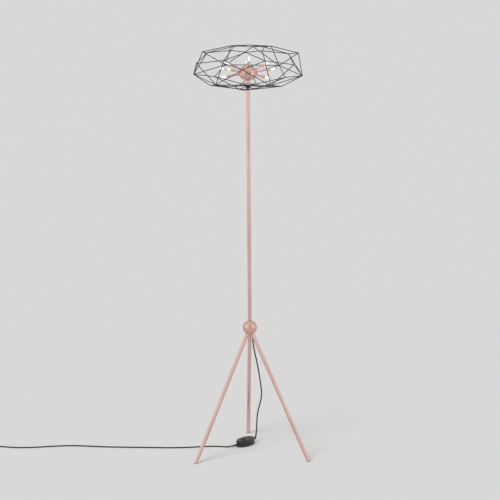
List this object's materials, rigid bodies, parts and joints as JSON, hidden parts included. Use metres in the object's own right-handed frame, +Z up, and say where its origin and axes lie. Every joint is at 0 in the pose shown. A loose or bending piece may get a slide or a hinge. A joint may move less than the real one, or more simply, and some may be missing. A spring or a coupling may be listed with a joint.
{
  "type": "floor lamp",
  "caption": "Copper tripod floor lamp with a ball joint, a slim pole and a wide faceted wire cage round a burst of small capsule bulbs on copper arms.",
  "frame": {"origin": "on the floor, under the middle of the lamp's own outline (cage and feet, without the lead)", "axes": "+Z up along the pole, -Y towards the viewer of the picture, +X to the viewer's right"},
  "size_m": [1.4137, 0.5074, 1.7221],
  "materials": {
    "copper": "copper plated, satin polished",
    "black_wire": "satin black powder coat",
    "black_fitting": "black, satin",
    "zinc_steel": "zinc plated",
    "nickel": "nickel plated",
    "bulb_glass": "clear capsule, lit",
    "ceramic": "unglazed ceramic",
    "cord_sheath": "black flexible sheath",
    "black_rubber": "matte black",
    "black_plastic": "satin black",
    "board": "circuit board",
    "core": "varnished core and winding"
  },
  "bodies": {
    "lamp": {"boot_in": "black_rubber", "boot_out": "black_rubber", "bulb_01": "bulb_glass", "bulb_02": "bulb_glass", "bulb_03": "bulb_glass", "bulb_04": "bulb_glass", "bulb_05": "bulb_glass", "bulb_06": "bulb_glass", "bulb_07": "bulb_glass", "bulb_08": "bulb_glass", "bulb_09": "bulb_glass", "bulb_10": "bulb_glass", "bulb_11": "bulb_glass", "bulb_pins": "nickel", "burst_arms": "copper", "burst_ball_lower": "copper", "burst_ball_upper": "copper", "cage_belly_wires": "black_wire", "cage_collar": "black_fitting", "cage_crown_wires": "black_wire", "cage_floor_wires": "black_wire", "cage_hub_plate": "black_wire", "cage_hub_ring": "black_wire", "cage_side_wires": "black_wire", "cage_spokes": "black_wire", "cage_top_ring": "black_wire", "cage_washer": "black_fitting", "cage_wide_ring": "black_wire", "ceramic_sockets": "ceramic", "cord_coil": "cord_sheath", "cord_drop": "cord_sheath", "cord_floor": "cord_sheath", "cord_grommet": "black_rubber", "cord_lead": "cord_sheath", "cord_tie": "black_plastic", "foot_plugs": "black_rubber", "head_nut": "zinc_steel", "hub_ball": "copper", "lamp_holders": "copper", "leg_left": "copper", "leg_plugs": "zinc_steel", "leg_rear": "copper", "leg_right": "copper", "leg_studs": "zinc_steel", "neck_sleeve": "copper", "plug_body": "black_plastic", "plug_pins": "nickel", "pole": "copper", "pole_plugs": "zinc_steel", "terminal_block": "ceramic", "threaded_rods": "zinc_steel", "unit_base": "black_plastic", "unit_board": "board", "unit_cover": "black_plastic", "unit_pads": "black_rubber", "unit_screws": "zinc_steel", "unit_spring": "zinc_steel", "unit_switch": "black_plastic", "unit_transformer": "core"},
    "button": {"unit_button": "black_plastic"}
  },
  "joints": [
    {"name": "button_press", "type": "slide", "parent": "lamp", "child": "button", "axis": [0, 0, -1], "range_m": [0, 0.003], "stiffness_N_per_m": 400, "springref_m": -0.002, "deforming": ["unit_spring"]}
  ]
}
